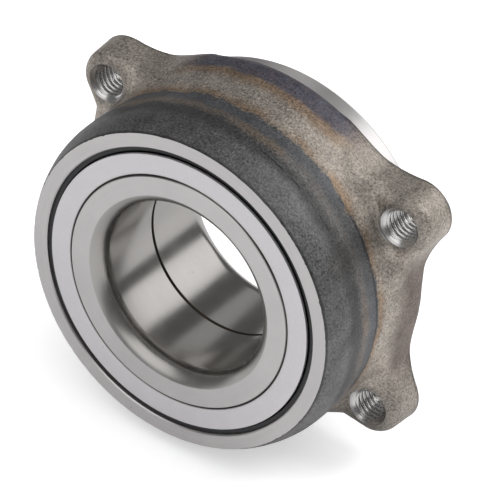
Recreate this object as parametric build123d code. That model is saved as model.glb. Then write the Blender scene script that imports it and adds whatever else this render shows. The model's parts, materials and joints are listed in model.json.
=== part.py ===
from build123d import *
from math import acos, asin, atan2, cos, degrees, hypot, pi, radians, sin, sqrt
import os

os.makedirs("parts", exist_ok=True)

# Wheel hub bearing: a double-row angular-contact ball bearing whose forged outer ring carries a
# flange with four tapped ears. All sizes are in millimetres.
#
# Frame: +Y runs along the bearing axis, from the face of the long barrel (front) to the pilot (rear).
# The four holes stand at the corners of a rectangle whose long side is along X, and +Z is up.
# The origin is on the axis, at the plane where the two inner rings meet.

# ---- boundary sizes ----
BORE_RADIUS = 24.0            # hub seat, 48 mm
INNER_RING_WIDTH = 23.5       # each of the two rings
BARREL_FACE_RADIUS = 44.75    # machined front face of the outer ring
PILOT_RADIUS = 44.5           # rear spigot, 89 mm
PILOT_OVERHANG = 0.6          # how far the pilot stands past the rear inner ring
PILOT_CHAMFER = 0.9           # axial
PILOT_CHAMFER_WIDTH = 0.55    # radial

# ---- flange and ears ----
HOLE_SPACING_X = 90.0
HOLE_SPACING_Z = 58.0
TAPPING_RADIUS = 4.25         # M10 x 1.5 before the thread
COUNTERSINK_RADIUS = 5.5
REAR_COUNTERSINK_RADIUS = 5.1
EAR_FRONT_Y = 3.7
FLANGE_REAR_Y = 14.9
EAR_RADIUS = 9.0              # at the rear face of the flange
EAR_BLEND_RADIUS = 34.0       # hollow between an ear and the rim
EAR_EDGE_RADIUS = 2.6
EAR_ROOT_RADIUS = 1.2         # between the front of an ear and the barrel
EAR_FLAT_HALF_WIDTH = 4.5     # flat middle of an ear's front
EAR_WING_RADIUS = 12.0        # curve of the front on either side of the flat
EAR_WING_WIDTH = 11.5         # length of that curve, seen along the bearing axis
FORGING_DRAFT = 7.0           # degrees
RIM_RADIUS = 49.4
RIM_EDGE_LENGTH = 2.6         # axial length of the rim's rounding towards its rear face
RIM_DRAW_IN = 1.0             # how far that rounding draws the rim in
FLANGE_REAR_CHAMFER = 0.6

# ---- forged barrel between the front face and the flange ----
BARREL_CORNER_DEPTH = 4.6
BARREL_CORNER_RADIUS = 46.7
BARREL_CREST_DEPTH = 13.0
BARREL_CREST_RADIUS = 47.5
VALLEY_DEPTH = 19.6
VALLEY_RADIUS = 47.05
FACE_EDGE_SLOPE = 0.62        # growth of the radius per unit of depth at the front face
FACE_EDGE_CHAMFER = 0.3

# ---- balls and raceways ----
BALL_RADIUS = 5.953           # 15/32 inch
BALLS_PER_ROW = 15
PITCH_RADIUS = 35.4
ROW_INSET = 14.2              # ball centres below the end face of the inner ring
CONTACT_ANGLE = 36.0          # degrees
GROOVE_CONFORMITY = 0.52      # raceway radius over ball diameter
BALL_RUNNING_GAP = 0.02
OUTER_RIB_RADIUS = 38.4       # shoulder between the two outer raceways
OUTER_LAND_RADIUS = 40.95     # low shoulder beside each seal seat
INNER_HIGH_RADIUS = 33.05     # shoulder and slinger seat
INNER_LOW_RADIUS = 30.6       # low shoulder beside the split

# ---- inner ring corners ----
LEAD_IN_WIDTH = 3.5           # radial
LEAD_IN_DEPTH = 5.5           # axial
FACE_EDGE_BREAK = 0.35
SPLIT_CHAMFER = 0.35

# ---- clip that holds the two inner rings together ----
CLIP_HALF_WIDTH = 2.6
CLIP_THICKNESS = 0.6
CLIP_HOOK_WIDTH = 0.7
CLIP_GROOVE_DEPTH = 0.8
CLIP_GAP = 0.1

# ---- ball cages ----
CAGE_INNER_RADIUS = 33.75
CAGE_OUTER_RADIUS = 38.5
CAGE_BACK_WALL = 1.3          # behind the balls
CAGE_BACK_START = 4.5         # from the ball centres to the thick back ring
CAGE_FRONT_REACH = 2.6        # how far the pocket claws pass the ball centres
CAGE_BACK_LIP = 0.9           # the back ring stands this much further out
POCKET_CLEARANCE = 0.2

# ---- seals, one at each end ----
SEAL_SEAT_RADIUS = 40.75      # bore of the outer ring at its ends
SEAL_SEAT_DEPTH = 6.6
SEAT_RUNOUT = 0.4             # length of the step between a seat and its land
SLINGER_THICKNESS = 0.8
SLINGER_RADIUS = 39.1         # rim of its flange
SLINGER_SLEEVE_LENGTH = 5.8
SLINGER_BEND_RADIUS = 1.1
CASE_THICKNESS = 0.7
CASE_INNER_RADIUS = 36.7
CASE_DEPTH = 5.9              # back of the case below the face of the inner ring
RUBBER_RECESS = 0.9           # rubber nose below the face
RUBBER_SKIN = 0.6
RUBBER_BORE_RADIUS = 39.45
LIP_ROOT_RADIUS = 36.2
LIP_TIP_WIDTH = 0.35
LIP_GAP = 0.2

CUT_ALLOWANCE = 3.0           # how far each cut starts outside the metal


def turn(outline):
    """Ring with the given closed outline of lines and arcs, where X is the radius."""
    return revolve(make_face(outline), Axis.Y)


def turn_points(points):
    """Ring whose section is the straight-sided outline through these (radius, y) points."""
    return turn(Polyline(*points, close=True))


def to_end(rear_shape, side):
    """Keep a shape at the rear end for side 1, or mirror it to the front end for side -1."""
    return rear_shape if side > 0 else mirror(rear_shape, Plane.XZ)


# ---- derived places ----
FRONT_Y = -INNER_RING_WIDTH
ROW_OFFSET = INNER_RING_WIDTH - ROW_INSET
PILOT_END_Y = INNER_RING_WIDTH + PILOT_OVERHANG
GROOVE_RADIUS = 2 * BALL_RADIUS * GROOVE_CONFORMITY
GROOVE_SHIFT = GROOVE_RADIUS - BALL_RADIUS - BALL_RUNNING_GAP
SHIFT_RADIAL = GROOVE_SHIFT * cos(radians(CONTACT_ANGLE))
SHIFT_AXIAL = GROOVE_SHIFT * sin(radians(CONTACT_ANGLE))


def groove_half_width(centre_radius, shoulder_radius):
    """Axial distance from a raceway's centre to where it meets a shoulder."""
    return sqrt(GROOVE_RADIUS**2 - (centre_radius - shoulder_radius) ** 2)


# ---- outer ring ----
OUTER_GROOVE_CENTRE_RADIUS = PITCH_RADIUS - SHIFT_RADIAL
OUTER_GROOVE_Y = ROW_OFFSET + SHIFT_AXIAL
SEAT_END_Y = INNER_RING_WIDTH - SEAL_SEAT_DEPTH


def barrel_outline():
    """Outside of the forging, from the front face to the rear of the flange, as (radius, y)."""
    face_corner = (BARREL_FACE_RADIUS, FRONT_Y)
    corner_end = (BARREL_CORNER_RADIUS, FRONT_Y + BARREL_CORNER_DEPTH)
    crest = (BARREL_CREST_RADIUS, FRONT_Y + BARREL_CREST_DEPTH)
    valley = (VALLEY_RADIUS, FRONT_Y + VALLEY_DEPTH)
    rim_front = (RIM_RADIUS, FLANGE_REAR_Y - RIM_EDGE_LENGTH)
    return Spline(
        face_corner,
        corner_end,
        crest,
        valley,
        rim_front,
        tangents=[(FACE_EDGE_SLOPE, 1), (0, 1)],
    )


def outer_ring_blank():
    """Solid forging of revolution with the pilot turned at the rear."""
    outside = barrel_outline()
    rim_end = (RIM_RADIUS - RIM_DRAW_IN, FLANGE_REAR_Y)
    rim_middle = (RIM_RADIUS - RIM_DRAW_IN / 4, FLANGE_REAR_Y - RIM_EDGE_LENGTH / 2)
    rim = ThreePointArc(outside @ 1, rim_middle, rim_end)
    rear = Polyline(
        rim_end,
        (PILOT_RADIUS, FLANGE_REAR_Y),
        (PILOT_RADIUS, PILOT_END_Y - PILOT_CHAMFER),
        (PILOT_RADIUS - PILOT_CHAMFER_WIDTH, PILOT_END_Y),
        (0, PILOT_END_Y),
        (0, FRONT_Y),
        (BARREL_FACE_RADIUS, FRONT_Y),
    )
    return turn(outside + rim + rear)


EAR_REACH = hypot(HOLE_SPACING_X, HOLE_SPACING_Z) / 2


def ear_centres():
    """The four hole axes, as (x, z), in order round the bearing axis."""
    half_x = HOLE_SPACING_X / 2
    half_z = HOLE_SPACING_Z / 2
    return [(half_x, half_z), (-half_x, half_z), (-half_x, -half_z), (half_x, -half_z)]


def ear_angles():
    """Direction of each ear from the bearing axis, in radians from +X towards +Z."""
    return [atan2(z, x) % (2 * pi) for x, z in ear_centres()]


def flange_outline():
    """Rim and ears in plan: each ear runs into the rim through a hollow arc on either side."""
    rim = RIM_RADIUS - RIM_DRAW_IN
    to_rim_hollow = rim + EAR_BLEND_RADIUS
    to_ear_hollow = EAR_RADIUS + EAR_BLEND_RADIUS
    swing = acos((to_rim_hollow**2 + EAR_REACH**2 - to_ear_hollow**2) / (2 * to_rim_hollow * EAR_REACH))
    angles = ear_angles()
    outline = Curve()
    for i, angle in enumerate(angles):
        ear = Vector(EAR_REACH, 0).rotate(Axis.Z, degrees(angle))
        tip = Vector(EAR_REACH + EAR_RADIUS, 0).rotate(Axis.Z, degrees(angle))
        sides = (angle - swing, angle + swing)
        hollows = [Vector(to_rim_hollow, 0).rotate(Axis.Z, degrees(side)) for side in sides]
        on_rim = [hollow.normalized() * rim for hollow in hollows]
        on_ear = [ear + (hollow - ear).normalized() * EAR_RADIUS for hollow in hollows]
        middles = []
        for hollow, rim_point, ear_point in zip(hollows, on_rim, on_ear):
            bisector = (rim_point - hollow).normalized() + (ear_point - hollow).normalized()
            middles.append(hollow + bisector.normalized() * EAR_BLEND_RADIUS)
        next_angle = angles[(i + 1) % len(angles)]
        gap = (next_angle - angle) % (2 * pi)
        rim_middle = Vector(rim, 0).rotate(Axis.Z, degrees(angle + gap / 2))
        next_on_rim = Vector(rim, 0).rotate(Axis.Z, degrees(next_angle - swing))
        outline += ThreePointArc(on_rim[0], middles[0], on_ear[0])
        outline += ThreePointArc(on_ear[0], tip, on_ear[1])
        outline += ThreePointArc(on_ear[1], middles[1], on_rim[1])
        outline += ThreePointArc(on_rim[1], rim_middle, next_on_rim)
    return make_face(outline)


def ear_wing_cut(angle, side):
    """Cut that curves one side of an ear's front back from its flat middle."""
    outwards = Vector(cos(angle), 0, sin(angle))
    sideways = Vector(-sin(angle), 0, cos(angle)) * side
    cut_start = RIM_RADIUS - 3 * CUT_ALLOWANCE
    section = Plane(origin=outwards * cut_start, x_dir=sideways, z_dir=outwards * -side)
    turned = asin(EAR_WING_WIDTH / EAR_WING_RADIUS)
    points = []
    for part in (0, turned / 2, turned):
        across = EAR_FLAT_HALF_WIDTH + EAR_WING_RADIUS * sin(part)
        points.append((across, EAR_FRONT_Y + EAR_WING_RADIUS * (1 - cos(part))))
    past_web = points[2][0] + 2 * CUT_ALLOWANCE
    rest = Polyline(
        points[2],
        (past_web, points[2][1]),
        (past_web, EAR_FRONT_Y - CUT_ALLOWANCE),
        (EAR_FLAT_HALF_WIDTH, EAR_FRONT_Y - CUT_ALLOWANCE),
        points[0],
    )
    outline = section * make_face(ThreePointArc(*points) + rest)
    return extrude(outline, amount=EAR_REACH + EAR_RADIUS + CUT_ALLOWANCE - cut_start, dir=outwards)


def on_ear_front(edge):
    """Whether an edge of the drafted flange runs round the front of an ear."""
    middle = edge @ 0.5
    behind_front = max((edge @ 0).Y, (edge @ 1).Y) > FLANGE_REAR_Y - FLANGE_REAR_CHAMFER
    beyond_rim = hypot(middle.X, middle.Z) > RIM_RADIUS + FLANGE_REAR_CHAMFER
    return beyond_rim and not behind_front and edge.geom_type != GeomType.LINE


def flange_plate():
    """Flange drafted towards the front, where its ears curve away from their flats and are rounded."""
    plane = Plane(origin=(0, FLANGE_REAR_Y, 0), x_dir=(1, 0, 0), z_dir=(0, -1, 0))
    thickness = FLANGE_REAR_Y - EAR_FRONT_Y
    plate = extrude(plane * flange_outline(), amount=thickness, dir=(0, -1, 0), taper=FORGING_DRAFT)
    for angle in ear_angles():
        for side in (-1, 1):
            plate -= ear_wing_cut(angle, side)
    plate = fillet(plate.edges().filter_by(on_ear_front), EAR_EDGE_RADIUS)
    return chamfer(plate.faces().sort_by(Axis.Y)[-1].edges(), FLANGE_REAR_CHAMFER)


def at_ear_root(edge):
    """Whether an edge of the forging runs where the front of an ear meets the barrel."""
    middle = edge @ 0.5
    on_barrel = PILOT_RADIUS < hypot(middle.X, middle.Z) < RIM_RADIUS
    return on_barrel and EAR_FRONT_Y - CUT_ALLOWANCE < middle.Y < EAR_FRONT_Y + EAR_EDGE_RADIUS


def seal_seat_cut(end_y, side):
    """Seat and low shoulder at one end, out past the end face of the outer ring."""
    mouth = SEAL_SEAT_RADIUS + FACE_EDGE_CHAMFER
    cut = turn_points([
        (0, ROW_OFFSET),
        (OUTER_LAND_RADIUS, ROW_OFFSET),
        (OUTER_LAND_RADIUS, SEAT_END_Y - SEAT_RUNOUT),
        (SEAL_SEAT_RADIUS, SEAT_END_Y),
        (SEAL_SEAT_RADIUS, end_y - FACE_EDGE_CHAMFER),
        (mouth, end_y),
        (mouth, end_y + CUT_ALLOWANCE),
        (0, end_y + CUT_ALLOWANCE),
    ])
    return to_end(cut, side)


def raceway_cut(side):
    """Ring swept by the raceway circle of one outer row."""
    groove = Pos(OUTER_GROOVE_CENTRE_RADIUS, OUTER_GROOVE_Y) * Circle(GROOVE_RADIUS)
    return to_end(revolve(groove, Axis.Y), side)


def tapped_hole_cut(x, z):
    """Drilled hole with a 90 degree countersink at each mouth, whose tool also clears the ear's root."""

    def circle_at(radius, y):
        return Plane(origin=(x, y, z), x_dir=(1, 0, 0), z_dir=(0, 1, 0)) * Circle(radius)

    start = EAR_FRONT_Y - 2 * CUT_ALLOWANCE
    end = FLANGE_REAR_Y + CUT_ALLOWANCE
    drill = extrude(circle_at(TAPPING_RADIUS, start), amount=end - start)
    front_tool = extrude(circle_at(COUNTERSINK_RADIUS, start), amount=EAR_FRONT_Y - start)
    front_mouth = loft([
        circle_at(COUNTERSINK_RADIUS, EAR_FRONT_Y),
        circle_at(TAPPING_RADIUS, EAR_FRONT_Y + COUNTERSINK_RADIUS - TAPPING_RADIUS),
    ])
    rear_mouth = loft([
        circle_at(TAPPING_RADIUS, FLANGE_REAR_Y - REAR_COUNTERSINK_RADIUS + TAPPING_RADIUS),
        circle_at(REAR_COUNTERSINK_RADIUS + CUT_ALLOWANCE, end),
    ])
    return drill + front_tool + front_mouth + rear_mouth


def outer_ring():
    """Forged ring with flange, raceways, seal seats and tapped ears."""
    body = outer_ring_blank() + flange_plate()
    body = fillet(body.edges().filter_by(at_ear_root), EAR_ROOT_RADIUS)
    body -= Cylinder(OUTER_RIB_RADIUS, 2 * (PILOT_END_Y + CUT_ALLOWANCE), rotation=(90, 0, 0))
    body -= seal_seat_cut(INNER_RING_WIDTH, -1)
    body -= seal_seat_cut(PILOT_END_Y, 1)
    for side in (-1, 1):
        body -= raceway_cut(side)
    for x, z in ear_centres():
        body -= tapped_hole_cut(x, z)
    return body


# ---- inner rings ----
INNER_GROOVE_CENTRE_RADIUS = PITCH_RADIUS + SHIFT_RADIAL
INNER_GROOVE_Y = ROW_OFFSET - SHIFT_AXIAL


def inner_ring(side):
    """One inner ring: rounded lead-in, high shoulder with the slinger seat, raceway and clip groove."""
    width = INNER_RING_WIDTH
    high_y = INNER_GROOVE_Y + groove_half_width(INNER_GROOVE_CENTRE_RADIUS, INNER_HIGH_RADIUS)
    low_y = INNER_GROOVE_Y - groove_half_width(INNER_GROOVE_CENTRE_RADIUS, INNER_LOW_RADIUS)
    groove_floor = INNER_LOW_RADIUS - CLIP_GROOVE_DEPTH
    groove_outer = CLIP_HALF_WIDTH + CLIP_GAP
    groove_inner = CLIP_HALF_WIDTH - CLIP_HOOK_WIDTH - CLIP_GAP
    lead_radius = (LEAD_IN_WIDTH**2 + LEAD_IN_DEPTH**2) / (2 * LEAD_IN_WIDTH)
    half_turn = asin(LEAD_IN_DEPTH / lead_radius) / 2
    lead_start = (BORE_RADIUS, width - LEAD_IN_DEPTH)
    lead_mid_radius = BORE_RADIUS + lead_radius * (1 - cos(half_turn))
    lead_mid = (lead_mid_radius, lead_start[1] + lead_radius * sin(half_turn))
    lead_in = ThreePointArc(lead_start, lead_mid, (BORE_RADIUS + LEAD_IN_WIDTH, width))
    face = Polyline(
        (BORE_RADIUS + LEAD_IN_WIDTH, width),
        (INNER_HIGH_RADIUS - FACE_EDGE_BREAK, width),
        (INNER_HIGH_RADIUS, width - FACE_EDGE_BREAK),
        (INNER_HIGH_RADIUS, high_y),
    )
    raceway = ThreePointArc(
        (INNER_HIGH_RADIUS, high_y),
        (INNER_GROOVE_CENTRE_RADIUS - GROOVE_RADIUS, INNER_GROOVE_Y),
        (INNER_LOW_RADIUS, low_y),
    )
    split_end = Polyline(
        (INNER_LOW_RADIUS, low_y),
        (INNER_LOW_RADIUS, groove_outer),
        (groove_floor, groove_outer),
        (groove_floor, groove_inner),
        (INNER_LOW_RADIUS, groove_inner),
        (INNER_LOW_RADIUS, SPLIT_CHAMFER),
        (INNER_LOW_RADIUS - SPLIT_CHAMFER, 0),
        (BORE_RADIUS + SPLIT_CHAMFER, 0),
        (BORE_RADIUS, SPLIT_CHAMFER),
        (BORE_RADIUS, width - LEAD_IN_DEPTH),
    )
    return to_end(turn(lead_in + face + raceway + split_end), side)


def ring_clip():
    """Spring band over the split, hooked into a groove of each inner ring."""
    inside = INNER_LOW_RADIUS + CLIP_GAP
    outside = inside + CLIP_THICKNESS
    hook_tip = INNER_LOW_RADIUS - CLIP_GROOVE_DEPTH + CLIP_GAP
    hook_side = CLIP_HALF_WIDTH - CLIP_HOOK_WIDTH
    return turn_points([
        (outside, -CLIP_HALF_WIDTH),
        (outside, CLIP_HALF_WIDTH),
        (hook_tip, CLIP_HALF_WIDTH),
        (hook_tip, hook_side),
        (inside, hook_side),
        (inside, -hook_side),
        (hook_tip, -hook_side),
        (hook_tip, -CLIP_HALF_WIDTH),
    ])


# ---- balls and cages ----
def ball_places(side):
    """Centre of every ball of a row; the rear row stands half a pitch further round."""
    step = 2 * pi / BALLS_PER_ROW
    start = 0 if side < 0 else step / 2
    places = []
    for i in range(BALLS_PER_ROW):
        angle = start + i * step
        places.append((PITCH_RADIUS * sin(angle), side * ROW_OFFSET, PITCH_RADIUS * cos(angle)))
    return places


def cage(side):
    """Moulded cage: a back ring towards the seal and open claws round each ball."""
    back_y = ROW_OFFSET + BALL_RADIUS + CAGE_BACK_WALL
    back_front_y = ROW_OFFSET + CAGE_BACK_START
    claw_y = ROW_OFFSET - CAGE_FRONT_REACH
    body = turn_points([
        (CAGE_INNER_RADIUS, claw_y),
        (CAGE_OUTER_RADIUS, claw_y),
        (CAGE_OUTER_RADIUS, back_front_y),
        (CAGE_OUTER_RADIUS + CAGE_BACK_LIP, back_front_y + CAGE_BACK_LIP),
        (CAGE_OUTER_RADIUS + CAGE_BACK_LIP, back_y),
        (CAGE_INNER_RADIUS, back_y),
    ])
    body = to_end(body, side)
    # Each pocket's poles lie along the bearing axis, so they stay clear of the cage's round faces.
    pocket = Rot(90, 0, 0) * Sphere(BALL_RADIUS + POCKET_CLEARANCE)
    return body - [Pos(*place) * pocket for place in ball_places(side)]


# ---- seals ----
def slinger(side):
    """Pressed L-section ring on the inner ring, with its flange in the end face."""
    bend = SLINGER_BEND_RADIUS
    inside = INNER_HIGH_RADIUS
    bend_start = (inside, INNER_RING_WIDTH - bend)
    bend_end = (inside + bend, INNER_RING_WIDTH)
    bend_middle = (bend_end[0] - bend * cos(pi / 4), bend_start[1] + bend * sin(pi / 4))
    corner = ThreePointArc(bend_start, bend_middle, bend_end)
    rest = Polyline(
        bend_end,
        (SLINGER_RADIUS, INNER_RING_WIDTH),
        (SLINGER_RADIUS, INNER_RING_WIDTH - SLINGER_THICKNESS),
        (inside + SLINGER_THICKNESS, INNER_RING_WIDTH - SLINGER_THICKNESS),
        (inside + SLINGER_THICKNESS, INNER_RING_WIDTH - SLINGER_SLEEVE_LENGTH),
        (inside, INNER_RING_WIDTH - SLINGER_SLEEVE_LENGTH),
        bend_start,
    )
    return to_end(turn(corner + rest), side)


def seal_case(side):
    """Pressed L-section ring in the outer ring, with its flange turned inwards at the back."""
    back = INNER_RING_WIDTH - CASE_DEPTH
    front = INNER_RING_WIDTH - RUBBER_RECESS - RUBBER_SKIN
    t = CASE_THICKNESS
    ring = turn_points([
        (SEAL_SEAT_RADIUS, front),
        (SEAL_SEAT_RADIUS, back),
        (CASE_INNER_RADIUS, back),
        (CASE_INNER_RADIUS, back + t),
        (SEAL_SEAT_RADIUS - t, back + t),
        (SEAL_SEAT_RADIUS - t, front),
    ])
    return to_end(ring, side)


def seal_rubber(side):
    """Rubber moulded on the case: a nose at the face, one lip to the flange and one to the sleeve."""
    back = INNER_RING_WIDTH - CASE_DEPTH
    face = back + CASE_THICKNESS
    nose = INNER_RING_WIDTH - RUBBER_RECESS
    case_front = nose - RUBBER_SKIN
    case_bore = SEAL_SEAT_RADIUS - CASE_THICKNESS
    flange_back = INNER_RING_WIDTH - SLINGER_THICKNESS - LIP_GAP
    sleeve = INNER_HIGH_RADIUS + SLINGER_THICKNESS + LIP_GAP
    floor = face + RUBBER_SKIN
    ring = turn_points([
        (SEAL_SEAT_RADIUS, nose),
        (SEAL_SEAT_RADIUS, case_front),
        (case_bore, case_front),
        (case_bore, face),
        (CASE_INNER_RADIUS, face),
        (CASE_INNER_RADIUS, back),
        (LIP_ROOT_RADIUS, back),
        (sleeve, back + RUBBER_SKIN),
        (sleeve, back + RUBBER_SKIN + LIP_TIP_WIDTH),
        (LIP_ROOT_RADIUS, floor),
        (LIP_ROOT_RADIUS + RUBBER_SKIN, flange_back),
        (LIP_ROOT_RADIUS + RUBBER_SKIN + LIP_TIP_WIDTH, flange_back),
        (LIP_ROOT_RADIUS + 2 * RUBBER_SKIN, floor),
        (RUBBER_BORE_RADIUS, floor),
        (RUBBER_BORE_RADIUS, nose),
    ])
    return to_end(ring, side)


def main():
    nodes = {"outer_ring": outer_ring(), "inner_ring_clip": ring_clip()}
    for name, side in (("front", -1), ("rear", 1)):
        nodes[f"inner_ring_{name}"] = inner_ring(side)
        nodes[f"cage_{name}"] = cage(side)
        nodes[f"slinger_{name}"] = slinger(side)
        nodes[f"seal_case_{name}"] = seal_case(side)
        nodes[f"seal_rubber_{name}"] = seal_rubber(side)
        for i, place in enumerate(ball_places(side), start=1):
            nodes[f"ball_{name}_{i:02d}"] = Pos(*place) * Sphere(BALL_RADIUS)
    for name, shape in nodes.items():
        export_step(shape, f"parts/{name}.step")


main()
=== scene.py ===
"""Finish of a wheel hub bearing: forged outer ring, ground inner rings, seals, threads and a studio.

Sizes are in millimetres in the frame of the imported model, unless a comment says otherwise, and each
mesh is scaled to metres when it is made. A span holds where a tint starts, is full, fades and ends.
"""

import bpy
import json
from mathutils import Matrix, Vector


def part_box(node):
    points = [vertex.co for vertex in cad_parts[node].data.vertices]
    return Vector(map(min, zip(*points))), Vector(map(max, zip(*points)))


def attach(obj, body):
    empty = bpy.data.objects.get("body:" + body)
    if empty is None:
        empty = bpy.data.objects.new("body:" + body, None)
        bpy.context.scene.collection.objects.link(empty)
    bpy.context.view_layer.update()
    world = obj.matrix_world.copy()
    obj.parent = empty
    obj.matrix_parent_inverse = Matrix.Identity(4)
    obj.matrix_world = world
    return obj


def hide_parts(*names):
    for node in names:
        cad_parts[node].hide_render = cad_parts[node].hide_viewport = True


bl_info = {
    "name": "Wheel Hub Bearing Finish",
    "version": (1, 0, 0),
    "blender": (4, 5, 0),
    "location": "View3D > Sidebar > Hub Bearing",
    "description": "Builds the visible skin, threads, finishes and studio of a flanged wheel hub bearing",
    "category": "Object",
}

import json
from functools import reduce
from math import acos, asin, atan2, cos, hypot, pi, radians, sin, sqrt, tan

import bmesh
import bpy
import numpy as np
from bpy.props import FloatProperty, FloatVectorProperty, PointerProperty
from mathutils import Matrix, Vector, noise

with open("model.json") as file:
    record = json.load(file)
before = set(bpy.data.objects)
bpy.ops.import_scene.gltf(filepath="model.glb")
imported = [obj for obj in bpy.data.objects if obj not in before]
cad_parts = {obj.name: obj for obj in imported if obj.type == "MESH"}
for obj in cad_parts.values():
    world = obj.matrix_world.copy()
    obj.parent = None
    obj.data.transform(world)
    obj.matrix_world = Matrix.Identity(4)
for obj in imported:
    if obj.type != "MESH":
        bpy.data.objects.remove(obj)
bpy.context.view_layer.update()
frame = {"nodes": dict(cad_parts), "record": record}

MM = 0.001

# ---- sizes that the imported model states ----
MOUNTS = {mount["name"]: mount for mount in frame["record"]["mounts"]}
BORE_RADIUS = MOUNTS["hub_bore"]["dims"]["r_mm"]
BORE_LENGTH = MOUNTS["hub_bore"]["dims"]["length_mm"]
PILOT_RADIUS = MOUNTS["pilot"]["dims"]["r_mm"]
HOLE_X = MOUNTS["flange_bolts"]["dims"]["spacing_x_mm"] / 2
HOLE_Z = MOUNTS["flange_bolts"]["dims"]["spacing_y_mm"] / 2
FLANGE_REAR_Y = MOUNTS["flange_face"]["pos_m"][1] / MM
EAR_REACH = hypot(HOLE_X, HOLE_Z)
EAR_ANGLE = atan2(HOLE_Z, HOLE_X)


def node_span(node, axis):
    """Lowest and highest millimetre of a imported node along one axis."""
    low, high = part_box(node)
    return low[axis] / MM, high[axis] / MM


FRONT_Y, PILOT_END_Y = node_span("outer_ring", 1)
RING_WIDTH = node_span("inner_ring_rear", 1)[1]
INNER_HIGH_RADIUS = node_span("inner_ring_rear", 0)[1]
SLINGER_RADIUS = node_span("slinger_rear", 0)[1]
SEAL_SEAT_RADIUS = node_span("seal_rubber_rear", 0)[1]
RUBBER_BACK_Y, RUBBER_NOSE_Y = node_span("seal_rubber_rear", 1)
BALL_LOW_Z, BALL_HIGH_Z = node_span("ball_front_01", 2)
BALL_RADIUS = (BALL_HIGH_Z - BALL_LOW_Z) / 2
PITCH_RADIUS = (BALL_HIGH_Z + BALL_LOW_Z) / 2
ROW_OFFSET = -sum(node_span("ball_front_01", 1)) / 2
FLOOR_Z = node_span("outer_ring", 2)[0]

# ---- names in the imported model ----
OUTER_BODY = "outer_ring_body"
ROTOR_BODY = "rotor"
FORGED_SLOT = "forged_steel"
SIDES = (("front", -1), ("rear", 1))

# ---- forging ----
FACE_RADIUS = 44.75
BARREL_STATIONS = ((0.0, FACE_RADIUS), (4.6, 46.7), (13.0, 47.5), (19.6, 47.05))  # depth and radius
FACE_EDGE_SLOPE = 0.62
RIM_RADIUS = 49.4
RIM_EDGE_LENGTH = 2.6
RIM_DRAW_IN = 1.0
EAR_FRONT_Y = 3.7
EAR_RADIUS = 8.9
EAR_HOLLOW_RADIUS = 34.0
EAR_EDGE_RADIUS = 3.2
EAR_ROOT_RADIUS = 2.2
FORGING_DRAFT = radians(4)
WING_START = 4.5
WING_RUN = 8.5
WING_FALL = 2.4
ROOT_GROWTH = 7.0
ROOT_GROWTH_START = 7.0
ROOT_GROWTH_END = 16.0
REAR_CHAMFER = 0.6
PILOT_CHAMFER = 0.9
PILOT_CHAMFER_WIDTH = 0.55
FACE_CHAMFER = 0.3
SKIN_UNEVENNESS = 0.07
SKIN_LUMPS = (  # rate, weight, shift
    (0.07, 1.0, (0, 0, 0)),
    (0.19, 0.55, (5, 0, 2)),
    (0.5, 0.25, (0, 0, 0)),
)
SKIN_LUMPS_MIDDLE = 0.4
EDGE_NICK = 0.35
EDGE_NICK_RATE = 0.9
EDGE_NICK_SHIFT = (7, 3, 1)
EDGE_NICK_FLOOR = 0.15

# ---- raceways and inner rings ----
CONTACT_ANGLE = radians(36)
GROOVE_RADIUS = 2 * BALL_RADIUS * 0.52
RUNNING_GAP = 0.02
RIB_RADIUS = 38.4
LAND_RADIUS = 40.95
INNER_LOW_RADIUS = 30.6
INNER_CHAMFER = 0.35
SEAT_DEPTH = 6.6
SEAT_RUNOUT = 0.4
LEAD_WIDTH = 3.5
SPLIT_GROOVE = 0.5
CLIP_GROOVE_RADIUS = 29.8
CLIP_GROOVE_Y = (1.8, 2.7)

# ---- tapped holes ----
THREAD_PITCH = 1.5
THREAD_MAJOR_RADIUS = 5.0
THREAD_MINOR_RADIUS = 4.19
THREAD_WALL_RADIUS = 5.04
THREAD_CREST = 0.25
THREAD_FLANK = 0.625
THREAD_BACK_SHARE = 0.08
THREAD_BACK_BULGE = 0.1
COUNTERSINK_RADIUS = 5.5
REAR_COUNTERSINK_RADIUS = 5.3
THREAD_START_Y = EAR_FRONT_Y + COUNTERSINK_RADIUS - THREAD_WALL_RADIUS
THREAD_END_Y = FLANGE_REAR_Y - REAR_COUNTERSINK_RADIUS + THREAD_WALL_RADIUS
DRILL_FRONT_REACH = 6.0
DRILL_REAR_REACH = 1.5

# ---- seals ----
SLINGER_THICKNESS = 0.8
SLINGER_SLEEVE_LENGTH = 5.8
SLINGER_BEND_RADIUS = 1.1
SLINGER_RIM_EASE = 0.22
SLINGER_CORNER_EASE = 0.3
SLINGER_EDGE_EASE = 0.1
CASE_INNER_RADIUS = 36.7
CASE_THICKNESS = 0.7
RUBBER_SKIN = 0.6
RUBBER_BORE_RADIUS = 39.45
NOSE_OUTER_EASE = 0.15
NOSE_INNER_EASE = 0.25
LIP_ROOT_RADIUS = 36.2
LIP_TIP_WIDTH = 0.35
LIP_TIP_EASE = 0.05
LIP_GAP = 0.2

# ---- fineness of the meshes ----
RING_COLUMNS = 560
COLUMN_SAMPLES = 7201
EAR_COLUMN_SPREAD = radians(25)
EAR_COLUMN_FADE = 0.8
EAR_COLUMN_WEIGHT = 2.4
BARREL_ROWS = 30
BARREL_ROW_POWER = 1.15
TURN_ROWS = 12
FRONT_ROWS = 18
SIDE_ROWS = 30
MACHINED_ROWS = 5
RAY_START_RADIUS = 40.0
RAY_REACH = 26.0
RAY_TURN_BEFORE_EAR = (4.0, 0.6)
RAY_EAR_SPAN = 16.4
RAY_HALVINGS = 34
RACEWAY_STEPS = 20
LEAD_STEPS = 12
LATHE_SEGMENTS = 256
DRILL_SEGMENTS = 72
THREAD_SEGMENTS = 49
THREAD_ROWS = 106
MERGE_DISTANCE = 0.001
SHARP_TURN = radians(28)
LATHE_SHARP_TURN = radians(18)
THREAD_SHARP_TURN = radians(50)

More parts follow.
